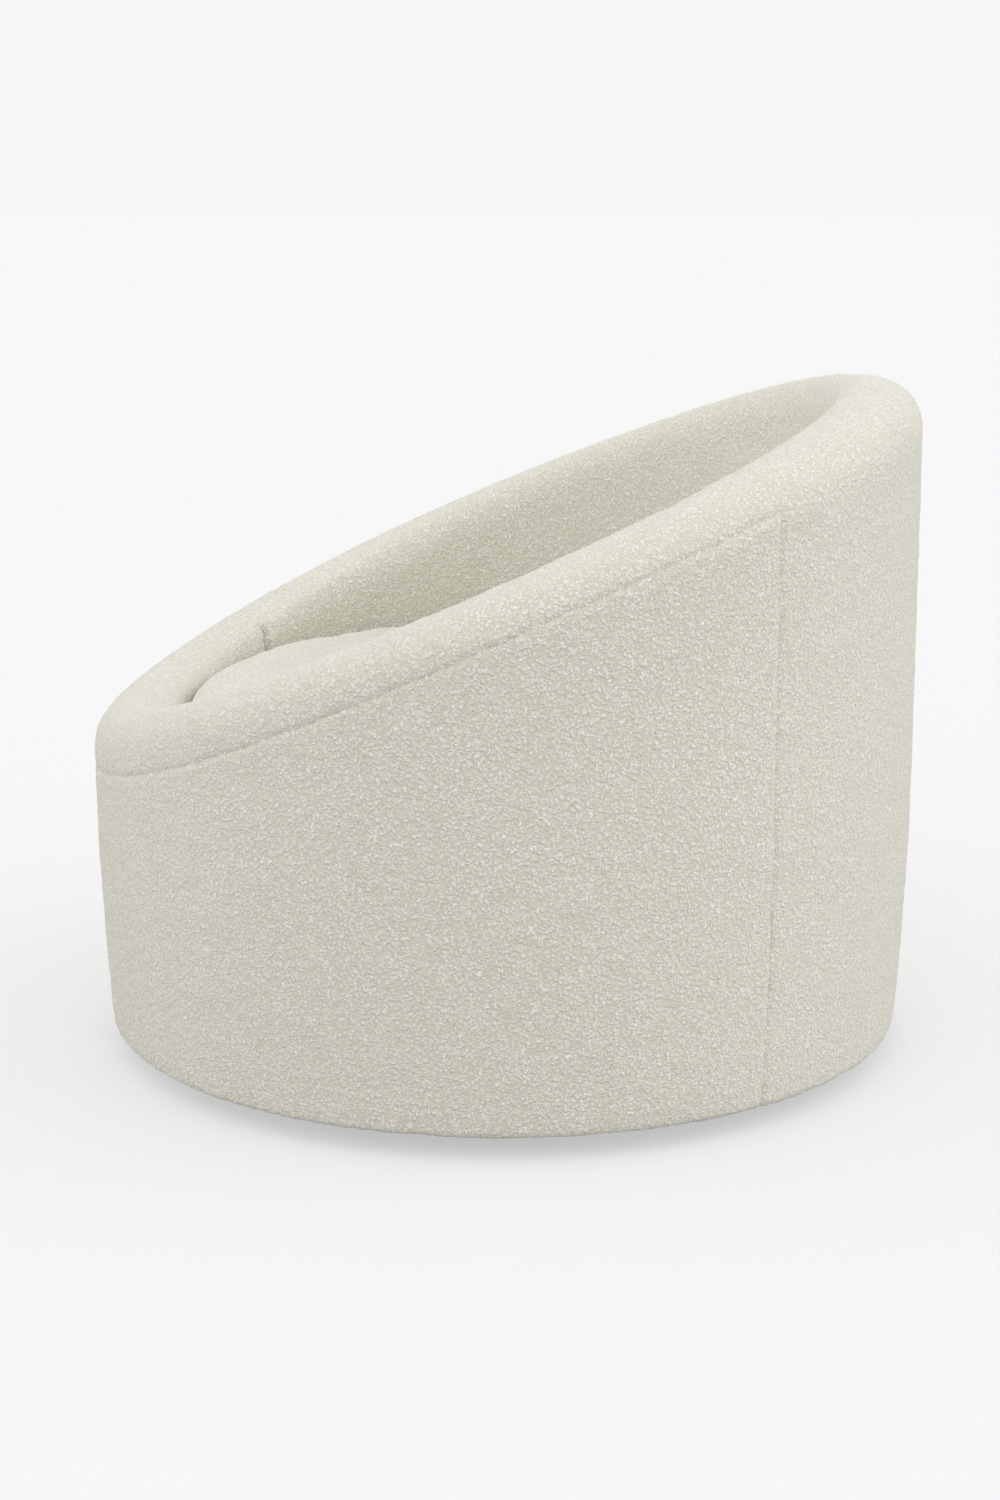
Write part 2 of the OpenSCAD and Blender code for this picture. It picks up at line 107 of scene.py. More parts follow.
# %% The upholsterer's measures
ARM_SWELL, SWELL_LEAD = 0.013, 0.48
RIM_RISE, RIM_SQUARENESS = 0.052, 2.5
RAIL_SQUARENESS, RAIL_END, RAIL_FADE = 4.2, radians(72), radians(36)
HEM_TUCK, TUCK_HEIGHT = 0.012, 0.320
SEAM_DROP_FRONT, SEAM_DROP_BACK = 0.062, 0.023
SEAM_SAG, SAG_END = 0.010, radians(97)
SEAM_ANGLE = radians(126.5)
DART_ANGLE = radians(37)


def crest_height(a):
    way_back = (1 - np.cos(a)) / 2
    swell = ARM_SWELL * np.sin(a) ** 2 * (1 + SWELL_LEAD * np.cos(a))
    return FRONT_CREST + (BACK_CREST - FRONT_CREST) * way_back + swell


def smooth_share(t):
    t = np.clip(t, 0, 1)
    return t * t * (3 - 2 * t)


def turned_from_front(a):
    """The same angle, from -pi to pi."""
    return (a + pi) % (2 * pi) - pi


def seam_height(a):
    way_back = (1 - np.cos(a)) / 2
    sag = SEAM_SAG * np.sin(pi * np.minimum(np.abs(turned_from_front(a)), SAG_END) / SAG_END)
    return crest_height(a) - SEAM_DROP_FRONT + (SEAM_DROP_FRONT - SEAM_DROP_BACK) * way_back - sag


def wall_radius(z):
    share = np.clip((z - HEM_HEIGHT) / TUCK_HEIGHT, 0, 1)
    return DRUM_RADIUS - HEM_TUCK * (1 - share) ** 2


# %% [markdown]
# ## The cross section as a path
# A cloth panel is measured along its surface, not up and down. So the cross section is kept as a
# path with its running length, and a point on a cloth is an angle and a length along that path.
# The roll is a squared ellipse, which has the flat top and full shoulders of foam under cloth. On
# the front rail its inner shoulder is squarer still, so that the cushion lies flush against it.

# %% The path from hem to deck
HEM_TURN, HEM_ROUND = 0.034, 0.007
WALL_STEPS, ROLL_STEPS, INSIDE_STEPS, HEM_STEPS = 40, 96, 16, 8


def section_path(angles):
    """Radius, height and running length of the cross section at each angle."""
    a = np.asarray(angles)[:, None]
    one = np.ones_like(a)
    foot = crest_height(a) - RIM_RISE
    turn = np.linspace(0, pi / 2, HEM_STEPS)[None, :]
    bottom = wall_radius(HEM_HEIGHT)
    under_r = (bottom - HEM_TURN) * one
    hem_r = bottom - HEM_ROUND + HEM_ROUND * np.sin(turn) * one
    hem_z = HEM_HEIGHT + HEM_ROUND - HEM_ROUND * np.cos(turn) * one
    rise = np.linspace(0, 1, WALL_STEPS)[None, 1:]
    wall_z = HEM_HEIGHT + HEM_ROUND + (foot - HEM_HEIGHT - HEM_ROUND) * rise
    wall_r = wall_radius(wall_z)
    over = np.linspace(0, pi, ROLL_STEPS)[None, 1:]
    near_front = smooth_share((RAIL_END - np.abs(turned_from_front(a))) / RAIL_FADE)
    inner_squareness = RIM_SQUARENESS + (RAIL_SQUARENESS - RIM_SQUARENESS) * near_front
    power = 2 / np.where(over > pi / 2, inner_squareness, RIM_SQUARENESS)
    outwards = np.sign(np.cos(over)) * np.abs(np.cos(over)) ** power
    half = np.where(outwards > 0, wall_radius(foot) - CREST_RADIUS, CREST_RADIUS - INNER_RADIUS)
    roll_r = CREST_RADIUS + half * outwards
    roll_z = foot + RIM_RISE * np.abs(np.sin(over)) ** power
    down = np.linspace(0, 1, INSIDE_STEPS)[None, 1:]
    inside_z = foot + (DECK_HEIGHT - foot) * down
    inside_r = INNER_RADIUS * np.ones_like(inside_z)
    r = np.hstack([under_r, hem_r, wall_r, roll_r, inside_r])
    z = np.hstack([HEM_HEIGHT * one + 0.002, hem_z, wall_z, roll_z, inside_z])
    step = np.hypot(np.diff(r), np.diff(z))
    length = np.hstack([np.zeros_like(one), np.cumsum(step, axis=1)])
    return r, z, length


CREST_INDEX = HEM_STEPS + WALL_STEPS - 1 + ROLL_STEPS // 2
FOOT_INDEX = HEM_STEPS + WALL_STEPS - 1 + ROLL_STEPS - 1


def seam_length(angles):
    """Length along the path at which the rim seam lies."""
    r, z, length = section_path(angles)
    rising = slice(1, CREST_INDEX)
    wanted = seam_height(np.asarray(angles))
    return np.array([np.interp(h, z[i, rising], length[i, rising]) for i, h in enumerate(wanted)])


def foot_length(angles):
    return section_path(angles)[2][:, FOOT_INDEX]


def end_length(angles):
    return section_path(angles)[2][:, -1]


front_path = section_path([0.0])
print(f"from hem to deck over the front rail is {front_path[2][0, -1]:.3f} m of cloth")

# %% [markdown]
# ## What the needle does to the surface
# A seam pulls the pile in, so a narrow valley runs along it, and the cloth beside it puckers. The
# seams here are the rim seam, two upright seams and a short dart at each front corner, where
# the arm's padding ends a little proud of the front rail. Tight cloth is never quite even
# either, so a slow wave of about a millimetre lies over everything.

# %% Relief of the seams
SEAM_DEPTH, SEAM_WIDTH, UPRIGHT_SHARE = 0.0019, 0.0030, 0.9
PUCKER_DEPTH, PUCKER_REACH = 0.0007, 0.014
WAVE_HEIGHT = 0.0010
DART_PROUD, DART_DEPTH, DART_WIDTH = 0.0060, 0.0060, 0.0022
DART_LUMP, LUMP_FROM_DART, LUMP_WIDTH = 0.0018, 0.009, 0.006


def wander(t, step, seed):
    """A smooth wandering value from -1 to 1, which repeats nowhere near."""
    return (np.sin(t / step + seed) + np.sin(1.71 * t / step + 2.3 * seed)
            + np.sin(2.93 * t / step + 4.1 * seed)) / 3


def slow_wave(x, y, z):
    return (wander(x + 0.7 * z, 0.031, 1.0) * wander(y - 0.4 * z, 0.027, 2.0)
            + 0.6 * wander(z + 0.3 * x, 0.019, 3.0) * wander(y + 0.5 * x, 0.023, 4.0))


def dart_relief(a, z, inner):
    """The arm's padding stands proud behind the dart, and the dart itself is a short valley."""
    line = DART_ANGLE + 0.0024 * wander(z, 0.0042, 5.0) / INNER_RADIUS
    beside = (np.abs(a) - line) * INNER_RADIUS
    started = smooth_share((crest_height(a) + 0.001 - z) / 0.010) * inner
    step = DART_PROUD * smooth_share(beside / 0.005 + 0.5) * np.exp(-np.maximum(beside, 0) / 0.20)
    valley_shade_colour = -DART_DEPTH * np.exp(-(beside / DART_WIDTH) ** 2)
    lump = DART_LUMP * np.exp(-((beside - LUMP_FROM_DART) / LUMP_WIDTH) ** 2)
    lump = lump * wander(z, 0.0045, 8.0)
    return started * (step + valley_shade_colour + lump)


def relief(a, r, z, length, seam_at, inner):
    """How far the cloth's surface stands out from the path."""
    turned = turned_from_front(a)
    from_rim_seam = np.abs(length - seam_at)
    before_back = smooth_share((SEAM_ANGLE - np.abs(turned)) / 0.02 + 0.5)
    from_upright = np.abs(np.abs(turned) - SEAM_ANGLE) * DRUM_RADIUS
    below_seam = smooth_share((seam_at - length) / 0.006 + 0.5)
    along = turned * DRUM_RADIUS
    rim = before_back * np.exp(-(from_rim_seam / SEAM_WIDTH) ** 2)
    upright = below_seam * np.exp(-(from_upright / SEAM_WIDTH) ** 2)
    unevenness = 1 + 0.35 * wander(along + z, 0.006, 6.0)
    depth = -SEAM_DEPTH * unevenness * np.maximum(rim, UPRIGHT_SHARE * upright)
    pucker = (before_back * np.exp(-from_rim_seam / PUCKER_REACH) * wander(along, 0.0036, 1.7)
              + 0.5 * below_seam * np.exp(-from_upright / PUCKER_REACH) * wander(z, 0.0032, 2.9))
    x, y = r * np.sin(a), -r * np.cos(a)
    wave = WAVE_HEIGHT * slow_wave(x, y, z)
    return depth + PUCKER_DEPTH * pucker + wave + dart_relief(turned, z, inner)


# %% [markdown]
# ## Laying a cloth on the drum
# A panel starts flat, as a grid, because that is how cloth starts. Each grid point is then laid on
# the path: its column gives the angle and its row the running length. At the edges the cloth turns
# in under its neighbour, as a seam allowance does, so no gap can show between two panels.

# %% Cut and lay
ALLOWANCE_ROWS, ALLOWANCE_STEP, SEAM_WOBBLE = 3, 0.0013, 0.0011
SLOPE_REACH, UNDER_SLOPE = 0.0015, 1.2
UPRIGHT_SWING, SWING_REACH = 0.0009, 0.02


def cut_cloth(columns, rows):
    """A flat grid of quads; vertex k is at column k % (columns + 1), row k // (columns + 1)."""
    bm = bmesh.new()
    bmesh.ops.create_grid(bm, x_segments=columns, y_segments=rows, size=1)
    return bm


def lay_cloth(angles, start, end, rows, tuck=0):
    """Lays a grid on the drum, from one running length to another at each angle.

    None stands for the rim seam. The last rows and columns, tuck in number, go on under
    the neighbouring cloth."""
    angles = np.asarray(angles)
    r, z, length = section_path(angles)
    seam_at = seam_length(angles)
    turned = turned_from_front(angles)
    in_front = smooth_share((SEAM_ANGLE - np.abs(turned)) / 0.03 + 1)
    seam_at += SEAM_WOBBLE * wander(turned * DRUM_RADIUS, 0.011, 9.0) * in_front
    row = np.arange(rows + 1)
    kept, rows_under = np.clip(row / (rows - tuck), 0, 1), np.maximum(row - (rows - tuck), 0)
    columns_under = np.maximum(np.abs(turned) - SEAM_ANGLE, 0) * DRUM_RADIUS * (tuck > 0)
    points = np.empty((rows + 1, len(angles), 3))
    for i, a in enumerate(angles):
        low, high = (seam_at[i] if edge is None else edge[i] for edge in (start, end))
        s = low + (high - low) * kept + ALLOWANCE_STEP * rows_under
        s_r, s_z = np.interp(s, length[i], r[i]), np.interp(s, length[i], z[i])
        ahead, behind = s + SLOPE_REACH, s - SLOPE_REACH
        run_r = np.interp(ahead, length[i], r[i]) - np.interp(behind, length[i], r[i])
        run_z = np.interp(ahead, length[i], z[i]) - np.interp(behind, length[i], z[i])
        size = np.hypot(run_r, run_z) + 1e-12
        inner = (s > length[i, CREST_INDEX]).astype(float)
        under = ALLOWANCE_STEP * rows_under + UNDER_SLOPE * columns_under[i]
        out = relief(a, s_r, s_z, s, seam_at[i], inner) - under
        s_r, s_z = s_r + out * run_z / size, s_z - out * run_r / size
        near = np.exp(-((abs(turned[i]) - SEAM_ANGLE) * DRUM_RADIUS / SWING_REACH) ** 2)
        sway = UPRIGHT_SWING * near * wander(s_z, 0.021, 7.0) * (s < seam_at[i])
        swing = a + sway / DRUM_RADIUS
        points[:, i] = np.stack([s_r * np.sin(swing), -s_r * np.cos(swing), s_z], axis=1)
    return points


def place_points(bm, points):
    """Moves the grid's points to their places, row by row, and returns them in that order."""
    order = sorted(bm.verts, key=lambda v: (round(v.co.y, 5), round(v.co.x, 5)))
    for v, p in zip(order, points.reshape(-1, 3)):
        v.co = p
    return order


def finish_piece(bm, name, material, body, smooth=True):
    """Turns a bmesh into a piece that rides on a body."""
    mesh = bpy.data.meshes.new(name)
    bm.to_mesh(mesh)
    bm.free()
    mesh.polygons.foreach_set("use_smooth", [smooth] * len(mesh.polygons))
    piece = bpy.data.objects.new(name, mesh)
    scene.collection.objects.link(piece)
    if material:
        mesh.materials.append(material)
    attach(piece, body)
    print(f"{name}: {len(mesh.vertices)} points, {len(mesh.polygons)} faces")
    return piece


# %% [markdown]
# ## Small tools for materials
# Every finish is a node tree that reads Object coordinates, so the pattern is as wide as it
# is on the real thing and goes with the piece when the chair turns.

# %% Material helpers
def new_material(name, roughness=0.6, metallic=0.0):
    material = bpy.data.materials.new(name)
    material.use_nodes = True
    tree = material.node_tree
    shader = tree.nodes["Principled BSDF"]
    shader.inputs["Roughness"].default_value = roughness
    shader.inputs["Metallic"].default_value = metallic
    return material, tree, shader


def add_node(tree, kind, **settings):
    node = tree.nodes.new(kind)
    for key, value in settings.items():
        if key in node.inputs:
            node.inputs[key].default_value = value
        else:
            setattr(node, key, value)
    return node


def object_coordinates(tree):
    return add_node(tree, "ShaderNodeTexCoord").outputs["Object"]


def noise_value(tree, where, scale, detail=2.0, roughness=0.5):
    node = add_node(tree, "ShaderNodeTexNoise", Scale=scale, Detail=detail, Roughness=roughness)
    tree.links.new(where, node.inputs["Vector"])
    return node.outputs["Fac"]


def colour_ramp(tree, value, *stops):
    node = add_node(tree, "ShaderNodeValToRGB")
    ramp = node.color_ramp
    while len(ramp.elements) < len(stops):
        ramp.elements.new(0.5)
    for element, (position, colour) in zip(ramp.elements, stops):
        element.position = position
        element.color = (*colour, 1)
    tree.links.new(value, node.inputs["Fac"])
    return node.outputs["Color"]


def sum_of(tree, *weighted):
    """Adds up values, each times its weight."""
    total = None
    for value, weight in weighted:
        node = add_node(tree, "ShaderNodeMath", operation="MULTIPLY_ADD")
        tree.links.new(value, node.inputs[0])
        node.inputs[1].default_value = weight
        node.inputs[2].default_value = 0
        if total is not None:
            tree.links.new(total, node.inputs[2])
        total = node.outputs[0]
    return total


def add_bump(tree, shader, height, distance, strength=1.0):
    bump = add_node(tree, "ShaderNodeBump", Strength=strength, Distance=distance)
    tree.links.new(height, bump.inputs["Height"])
    tree.links.new(bump.outputs["Normal"], shader.inputs["Normal"])


# %% [markdown]
# ## The looped cloth
# This cloth is woven with a yarn that curls up into small loops, so its surface is all nubs, three
# to seven millimetres across, with little shaded valleys between them. Rounded cells from a
# Voronoi texture make the nubs, a noise that bends the cells makes them curl, and a finer
# noise makes the fibres. The colour follows the nub cells: painted highlight on the tips and
# painted shade, a warmer, darker ivory, in the valleys, with random fibre and patch tone on top.

# %% Looped cloth
NUBS_SCALE, NUBS_ROUNDING, CURLS_SCALE = 310.0, 0.25, 620.0
FIBRES_SCALE, PATCHES_SCALE = 1700.0, 9.0
BEND_SCALE, BEND_PUSH = 170.0, 0.005
CLOTH_BUMP = 0.0017
# Ramp stops for the painted shade in the valleys and the painted highlight on the tips.
SHADED_VALLEY_STOP, HIGHLIGHT_TIP_STOP = 0.42, 0.82


def looped_cloth(name, tip_highlight_colour, valley_shade_colour):
    material, tree, shader = new_material(name, roughness=0.92)
    shader.inputs["Specular IOR Level"].default_value = 0.15
    shader.inputs["Sheen Weight"].default_value = 0.5
    shader.inputs["Sheen Roughness"].default_value = 0.5
    shader.inputs["Sheen Tint"].default_value = (1.0, 0.99, 0.95, 1)
    where = object_coordinates(tree)
    bend = add_node(tree, "ShaderNodeTexNoise", Scale=BEND_SCALE, Detail=1.5)
    tree.links.new(where, bend.inputs["Vector"])
    centred = add_node(tree, "ShaderNodeVectorMath", operation="SUBTRACT")
    tree.links.new(bend.outputs["Color"], centred.inputs[0])
    centred.inputs[1].default_value = (0.5, 0.5, 0.5)
    pushed = add_node(tree, "ShaderNodeVectorMath", operation="MULTIPLY_ADD")
    tree.links.new(centred.outputs[0], pushed.inputs[0])
    pushed.inputs[1].default_value = (BEND_PUSH, BEND_PUSH, BEND_PUSH)
    tree.links.new(where, pushed.inputs[2])
    bent = pushed.outputs[0]
    nubs = add_node(tree, "ShaderNodeTexVoronoi", feature="SMOOTH_F1", Scale=NUBS_SCALE,
                    Smoothness=NUBS_ROUNDING)
    tree.links.new(bent, nubs.inputs["Vector"])
    curls = add_node(tree, "ShaderNodeTexVoronoi", feature="F1", Scale=CURLS_SCALE)
    tree.links.new(bent, curls.inputs["Vector"])
    fibres = noise_value(tree, where, FIBRES_SCALE, 2.0, 0.6)
    patches = noise_value(tree, where, PATCHES_SCALE, 2.0)
    height = sum_of(tree, (nubs.outputs["Distance"], -1.0), (curls.outputs["Distance"], -0.4),
                    (fibres, 0.22))
    add_bump(tree, shader, height, CLOTH_BUMP)
    # Painted light and real tone: the nub cells make light tips and darker valleys, and the fibres
    # and patches add random tone.
    nub_shade_and_tone = sum_of(tree, (nubs.outputs["Distance"], -1.0), (curls.outputs["Distance"], -0.5),
                  (fibres, 0.3), (patches, 0.06))
    lifted = add_node(tree, "ShaderNodeMath", operation="ADD")
    tree.links.new(nub_shade_and_tone, lifted.inputs[0])
    lifted.inputs[1].default_value = 1.0
    colour = colour_ramp(tree, lifted.outputs[0], (SHADED_VALLEY_STOP, valley_shade_colour), (HIGHLIGHT_TIP_STOP, tip_highlight_colour))
    tree.links.new(colour, shader.inputs["Base Color"])
    return material


# The tip colour is a painted highlight and the valley colour a painted shade.
ivory_cloth = looped_cloth("ivory_looped_cloth", tip_highlight_colour=(0.96, 0.94, 0.875),
                           valley_shade_colour=(0.69, 0.665, 0.57))
print("cloth material:", ivory_cloth.name)

# %% [markdown]
# ## Nubs in the mesh too
# Bump alone leaves a clean outline, and the outline of this cloth is furry. So each cloth also gets
# a Displace modifier with the same kind of cells. It is a small move, about a millimetre, but it
# roughens the edge of the chair and the meshes themselves.

# %% Nub displacement
nub_texture = bpy.data.textures.new("nub_cells", "VORONOI")
NUB_SIZE, NUB_RELIEF, NUB_MIDDLE = 0.0066, 0.0013, 0.45
nub_texture.noise_scale = NUB_SIZE
nub_texture.noise_intensity = 1.0


def raise_nubs(piece, relief_depth=NUB_RELIEF):
    modifier = piece.modifiers.new("nubs", "DISPLACE")
    modifier.texture = nub_texture
    modifier.texture_coords = "LOCAL"
    modifier.strength = -relief_depth
    modifier.mid_level = NUB_MIDDLE


# %% [markdown]
# ## The side panel
# One long panel goes round the front from one upright seam to the other. Its foot is turned under
# the drum and its top edge is sewn to the rim cover.

# %% Side panel
SIDE_COLUMNS, SIDE_ROWS = 660, 146
main_angles = np.linspace(-SEAM_ANGLE, SEAM_ANGLE, SIDE_COLUMNS + 1 - 2 * ALLOWANCE_ROWS)
under_angles = SEAM_ANGLE + ALLOWANCE_STEP * np.arange(1, ALLOWANCE_ROWS + 1) / DRUM_RADIUS
side_angles = np.concatenate([-under_angles[::-1], main_angles, under_angles])
side_bm = cut_cloth(SIDE_COLUMNS, SIDE_ROWS)
side_points = lay_cloth(side_angles, np.zeros(SIDE_COLUMNS + 1), None, SIDE_ROWS,
                        tuck=ALLOWANCE_ROWS)
place_points(side_bm, side_points)
side_cover = finish_piece(side_bm, "side_panel", ivory_cloth, "tub")
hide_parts("side_cover")
raise_nubs(side_cover)
side_flat = (2 * SEAM_ANGLE * DRUM_RADIUS, float(seam_length([SEAM_ANGLE])[0]))
side_area = float(np.mean(seam_length(side_angles))) * side_flat[0]

# %% [markdown]
# ## The rim cover
# This cloth starts at the rim seam, rolls over the foam and ends inside, low on the roll. Behind
# the upright seams it isn't cut at the rim: it runs on down the back to the hem, which is why the
# top of the back has no seam. The grid covers the whole drum, and the part under the rim seam in
# front of the upright seams is cut away, as a pattern cutter would. Extra columns at the two darts
# keep their folds sharp.

# %% Rim cover
BACK_COLUMNS, EVEN_COLUMNS, DART_COLUMNS = 262, 470, 40
BACK_ROWS, ROLL_ROWS = 170, 60
close_to_dart = radians(2.6) * np.linspace(-1, 1, DART_COLUMNS) + 0.0007
front_angles = 2 * pi + np.sort(np.concatenate([
    np.linspace(-SEAM_ANGLE, SEAM_ANGLE, EVEN_COLUMNS + 1)[1:],
    DART_ANGLE + close_to_dart, -DART_ANGLE + close_to_dart]))
rim_columns = BACK_COLUMNS + len(front_angles)
rim_angles = np.concatenate([
    np.linspace(SEAM_ANGLE, 2 * pi - SEAM_ANGLE, BACK_COLUMNS + 1),
    front_angles])
rim_seam = seam_length(rim_angles)
rim_bm = cut_cloth(rim_columns, BACK_ROWS + ROLL_ROWS)
back_points = lay_cloth(rim_angles, np.zeros(rim_columns + 1), None, BACK_ROWS)
roll_points = lay_cloth(rim_angles, None, foot_length(rim_angles), ROLL_ROWS)
rim_order = place_points(rim_bm, np.concatenate([back_points[:-1], roll_points]))
cut_away = [v for k, v in enumerate(rim_order)
            if k // (rim_columns + 1) < BACK_ROWS
            and BACK_COLUMNS < k % (rim_columns + 1) < rim_columns]
bmesh.ops.delete(rim_bm, geom=cut_away, context="VERTS")
CLOSE_TOLERANCE = 1e-5
bmesh.ops.remove_doubles(rim_bm, verts=rim_bm.verts, dist=CLOSE_TOLERANCE)
rim_cover = finish_piece(rim_bm, "rim_and_back_cover", ivory_cloth, "tub")
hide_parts("rim_cover")
raise_nubs(rim_cover)


# %% [markdown]
# ## The inside cover
# The inside of the back and arms is a ring of cloth over foam. It meets the rim cover low on the
# roll and goes down behind the cushion to the deck. It is laid on the same columns as the rim
# cover, so the two meet point to point and the join stays out of sight.

# %% Inside cover
INSIDE_ROWS = 88
inside_bm = cut_cloth(rim_columns, INSIDE_ROWS)
inside_start, inside_end = foot_length(rim_angles), end_length(rim_angles)
place_points(inside_bm, lay_cloth(rim_angles, inside_start, inside_end, INSIDE_ROWS))
bmesh.ops.remove_doubles(inside_bm, verts=inside_bm.verts, dist=CLOSE_TOLERANCE)
inside_cover = finish_piece(inside_bm, "inside_cover_cloth", ivory_cloth, "tub")
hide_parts("inside_cover")
raise_nubs(inside_cover)

# %% [markdown]
# ## The seat cushion
# The cushion is a foam disc in a fibre wrap, inside a sewn cover. A sewn cover under pressure takes
# a crown that nobody can draw well, so it is simulated: a slightly small disc is
# remeshed into even squares and blown up as cloth from inside. The tub then holds it, so the sides
# are kept inside the wall and the underside flat on the deck.

# %% Cushion blank
cushion_low, cushion_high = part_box("cushion_cover")
CUSHION_RADIUS = cushion_high[0] - 0.0003
CUSHION_FLOOR, CUSHION_CROWN = cushion_low[2], cushion_high[2]
BLANK_SHRINK, BLANK_DROP, EDGE_LIFT = 0.006, 0.013, 0.003
SHOULDER_TOP, SHOULDER_FOOT = 0.011, 0.022


def round_corner(centre_r, centre_z, size_r, size_z, start, end, steps=7):
    turn = np.radians(np.linspace(start, end, steps))
    return [(centre_r + size_r * cos(t), centre_z + size_z * sin(t)) for t in turn]


blank_r = CUSHION_RADIUS - BLANK_SHRINK
blank_top = CUSHION_CROWN - BLANK_DROP
foot_corner = round_corner(blank_r - SHOULDER_FOOT, CUSHION_FLOOR + SHOULDER_FOOT,
                           SHOULDER_FOOT, SHOULDER_FOOT, -90, 0)
top_corner = round_corner(blank_r - SHOULDER_TOP, blank_top + EDGE_LIFT - SHOULDER_TOP,
                          SHOULDER_TOP, SHOULDER_TOP, 0, 84)
cushion_outline = ([(0, CUSHION_FLOOR), (0.15, CUSHION_FLOOR)] + foot_corner + top_corner
                   + [(0.16, blank_top), (0, blank_top)])
blank_bm = bmesh.new()
outline = [blank_bm.verts.new((r, 0, z)) for r, z in cushion_outline]
outline_edges = [blank_bm.edges.new(pair) for pair in zip(outline, outline[1:])]
bmesh.ops.spin(blank_bm, geom=outline + outline_edges, cent=(0, 0, 0), axis=(0, 0, 1),
               dvec=(0, 0, 0), angle=2 * pi, steps=128, use_merge=True, use_duplicate=False)
bmesh.ops.remove_doubles(blank_bm, verts=blank_bm.verts, dist=CLOSE_TOLERANCE)
bmesh.ops.recalc_face_normals(blank_bm, faces=blank_bm.faces)
cushion_mesh = bpy.data.meshes.new("seat_cushion_cloth")
blank_bm.to_mesh(cushion_mesh)
blank_bm.free()
cushion = bpy.data.objects.new("seat_cushion_cloth", cushion_mesh)
scene.collection.objects.link(cushion)
print(f"cushion blank: {2 * blank_r:.3f} m across")

# %% Remesh and blow up
REMESH_SIZE = 0.006
PRESSURE, LAST_FRAME, FURTHEST_MOVE = 4.0, 20, 0.014


def baked(piece):
    """The piece's mesh with its modifiers applied."""
    graph = bpy.context.evaluated_depsgraph_get()
    mesh = bpy.data.meshes.new_from_object(piece.evaluated_get(graph), depsgraph=graph)
    piece.modifiers.clear()
    piece.data = mesh
    return mesh


def mesh_points(mesh):
    points = np.empty(len(mesh.vertices) * 3)
    mesh.vertices.foreach_get("co", points)
    return points.reshape(-1, 3)


remesh = cushion.modifiers.new("even", "REMESH")
remesh.mode = "VOXEL"
remesh.voxel_size = REMESH_SIZE
baked(cushion)
before = mesh_points(cushion.data)
cloth = cushion.modifiers.new("cloth", "CLOTH")
cloth.settings.use_pressure = True
cloth.settings.uniform_pressure_force = PRESSURE
cloth.settings.effector_weights.gravity = 0
cloth.settings.quality = 5
cloth.settings.mass = 0.3
cloth.point_cache.frame_start, cloth.point_cache.frame_end = 1, LAST_FRAME
for frame_number in range(1, LAST_FRAME + 1):
    scene.frame_set(frame_number)
baked(cushion)
scene.frame_set(1)
moved = mesh_points(cushion.data) - before
distance = np.linalg.norm(moved, axis=1, keepdims=True)
held_back = np.minimum(1, FURTHEST_MOVE / np.maximum(distance, 1e-9))
cushion.data.vertices.foreach_set("co", (before + moved * held_back).ravel())
print(f"cushion swelled by up to {distance.max() * 1000:.1f} mm")

# %% [markdown]
# ## Holding the cushion in the tub
# The blown-up cushion is pressed back inside the tub: no point passes the wall or the deck. Two
# seams run round it, where the top and bottom panels are sewn to the side band. The fibre wrap
# holds the cloth from inside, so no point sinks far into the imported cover. Then the top is
# smoothed, and held out a second time.

# %% Press into the tub and sew
WALL_ROOM, DECK_ROOM, SQUASH_SOFT, DECK_SOFT = 0.0008, 0.0006, 0.006, 0.004
CUSHION_SEAM_DEPTH, CUSHION_SEAM_WIDTH = 0.0030, 0.0042
CUSHION_PUCKER, CUSHION_WAVE = 0.0009, 0.0014
TOP_SEAM = (CUSHION_CROWN - 0.034, CUSHION_RADIUS - 0.006)
BOTTOM_SEAM = (CUSHION_FLOOR + 0.018, CUSHION_RADIUS - 0.008)
subdivision = cushion.modifiers.new("finer", "SUBSURF")
subdivision.levels = subdivision.render_levels = 1
baked(cushion)


def soft_limit(value, limit, softness):
    """Lets a value run up to a limit and no further, easing in over the softness."""
    over = (value - limit + softness) / softness
    eased = limit - softness + softness * (1 - np.exp(-np.maximum(over, 0)))
    return np.where(over > 0, eased, value)


p = mesh_points(cushion.data)
radius = np.hypot(p[:, 0], p[:, 1])
angle = np.arctan2(p[:, 0], -p[:, 1])
squeezed = soft_limit(radius, CUSHION_RADIUS - WALL_ROOM, SQUASH_SOFT)
height = CUSHION_CROWN - soft_limit(CUSHION_CROWN - p[:, 2],
                                    CUSHION_CROWN - CUSHION_FLOOR - DECK_ROOM, DECK_SOFT)
for seam_z, seam_r in (TOP_SEAM, BOTTOM_SEAM):
    wavy = seam_z + 0.0008 * wander(angle * CUSHION_RADIUS, 0.012, seam_z * 40)
    away = np.hypot(height - wavy, np.minimum(squeezed - seam_r, 0))
    pulled = CUSHION_SEAM_DEPTH * np.exp(-(away / CUSHION_SEAM_WIDTH) ** 2)
    pucker = np.exp(-away / 0.012) * wander(angle * CUSHION_RADIUS, 0.0038, seam_z * 90)
    squeezed = squeezed - pulled + np.minimum(CUSHION_PUCKER * pucker, 0)
share = squeezed / np.maximum(radius, 1e-6)
settled = np.stack([p[:, 0] * share, p[:, 1] * share, height], axis=1)
waved = CUSHION_WAVE * slow_wave(p[:, 0], p[:, 1], p[:, 2])
settled[:, 2] += waved * (height > CUSHION_CROWN - 0.06)

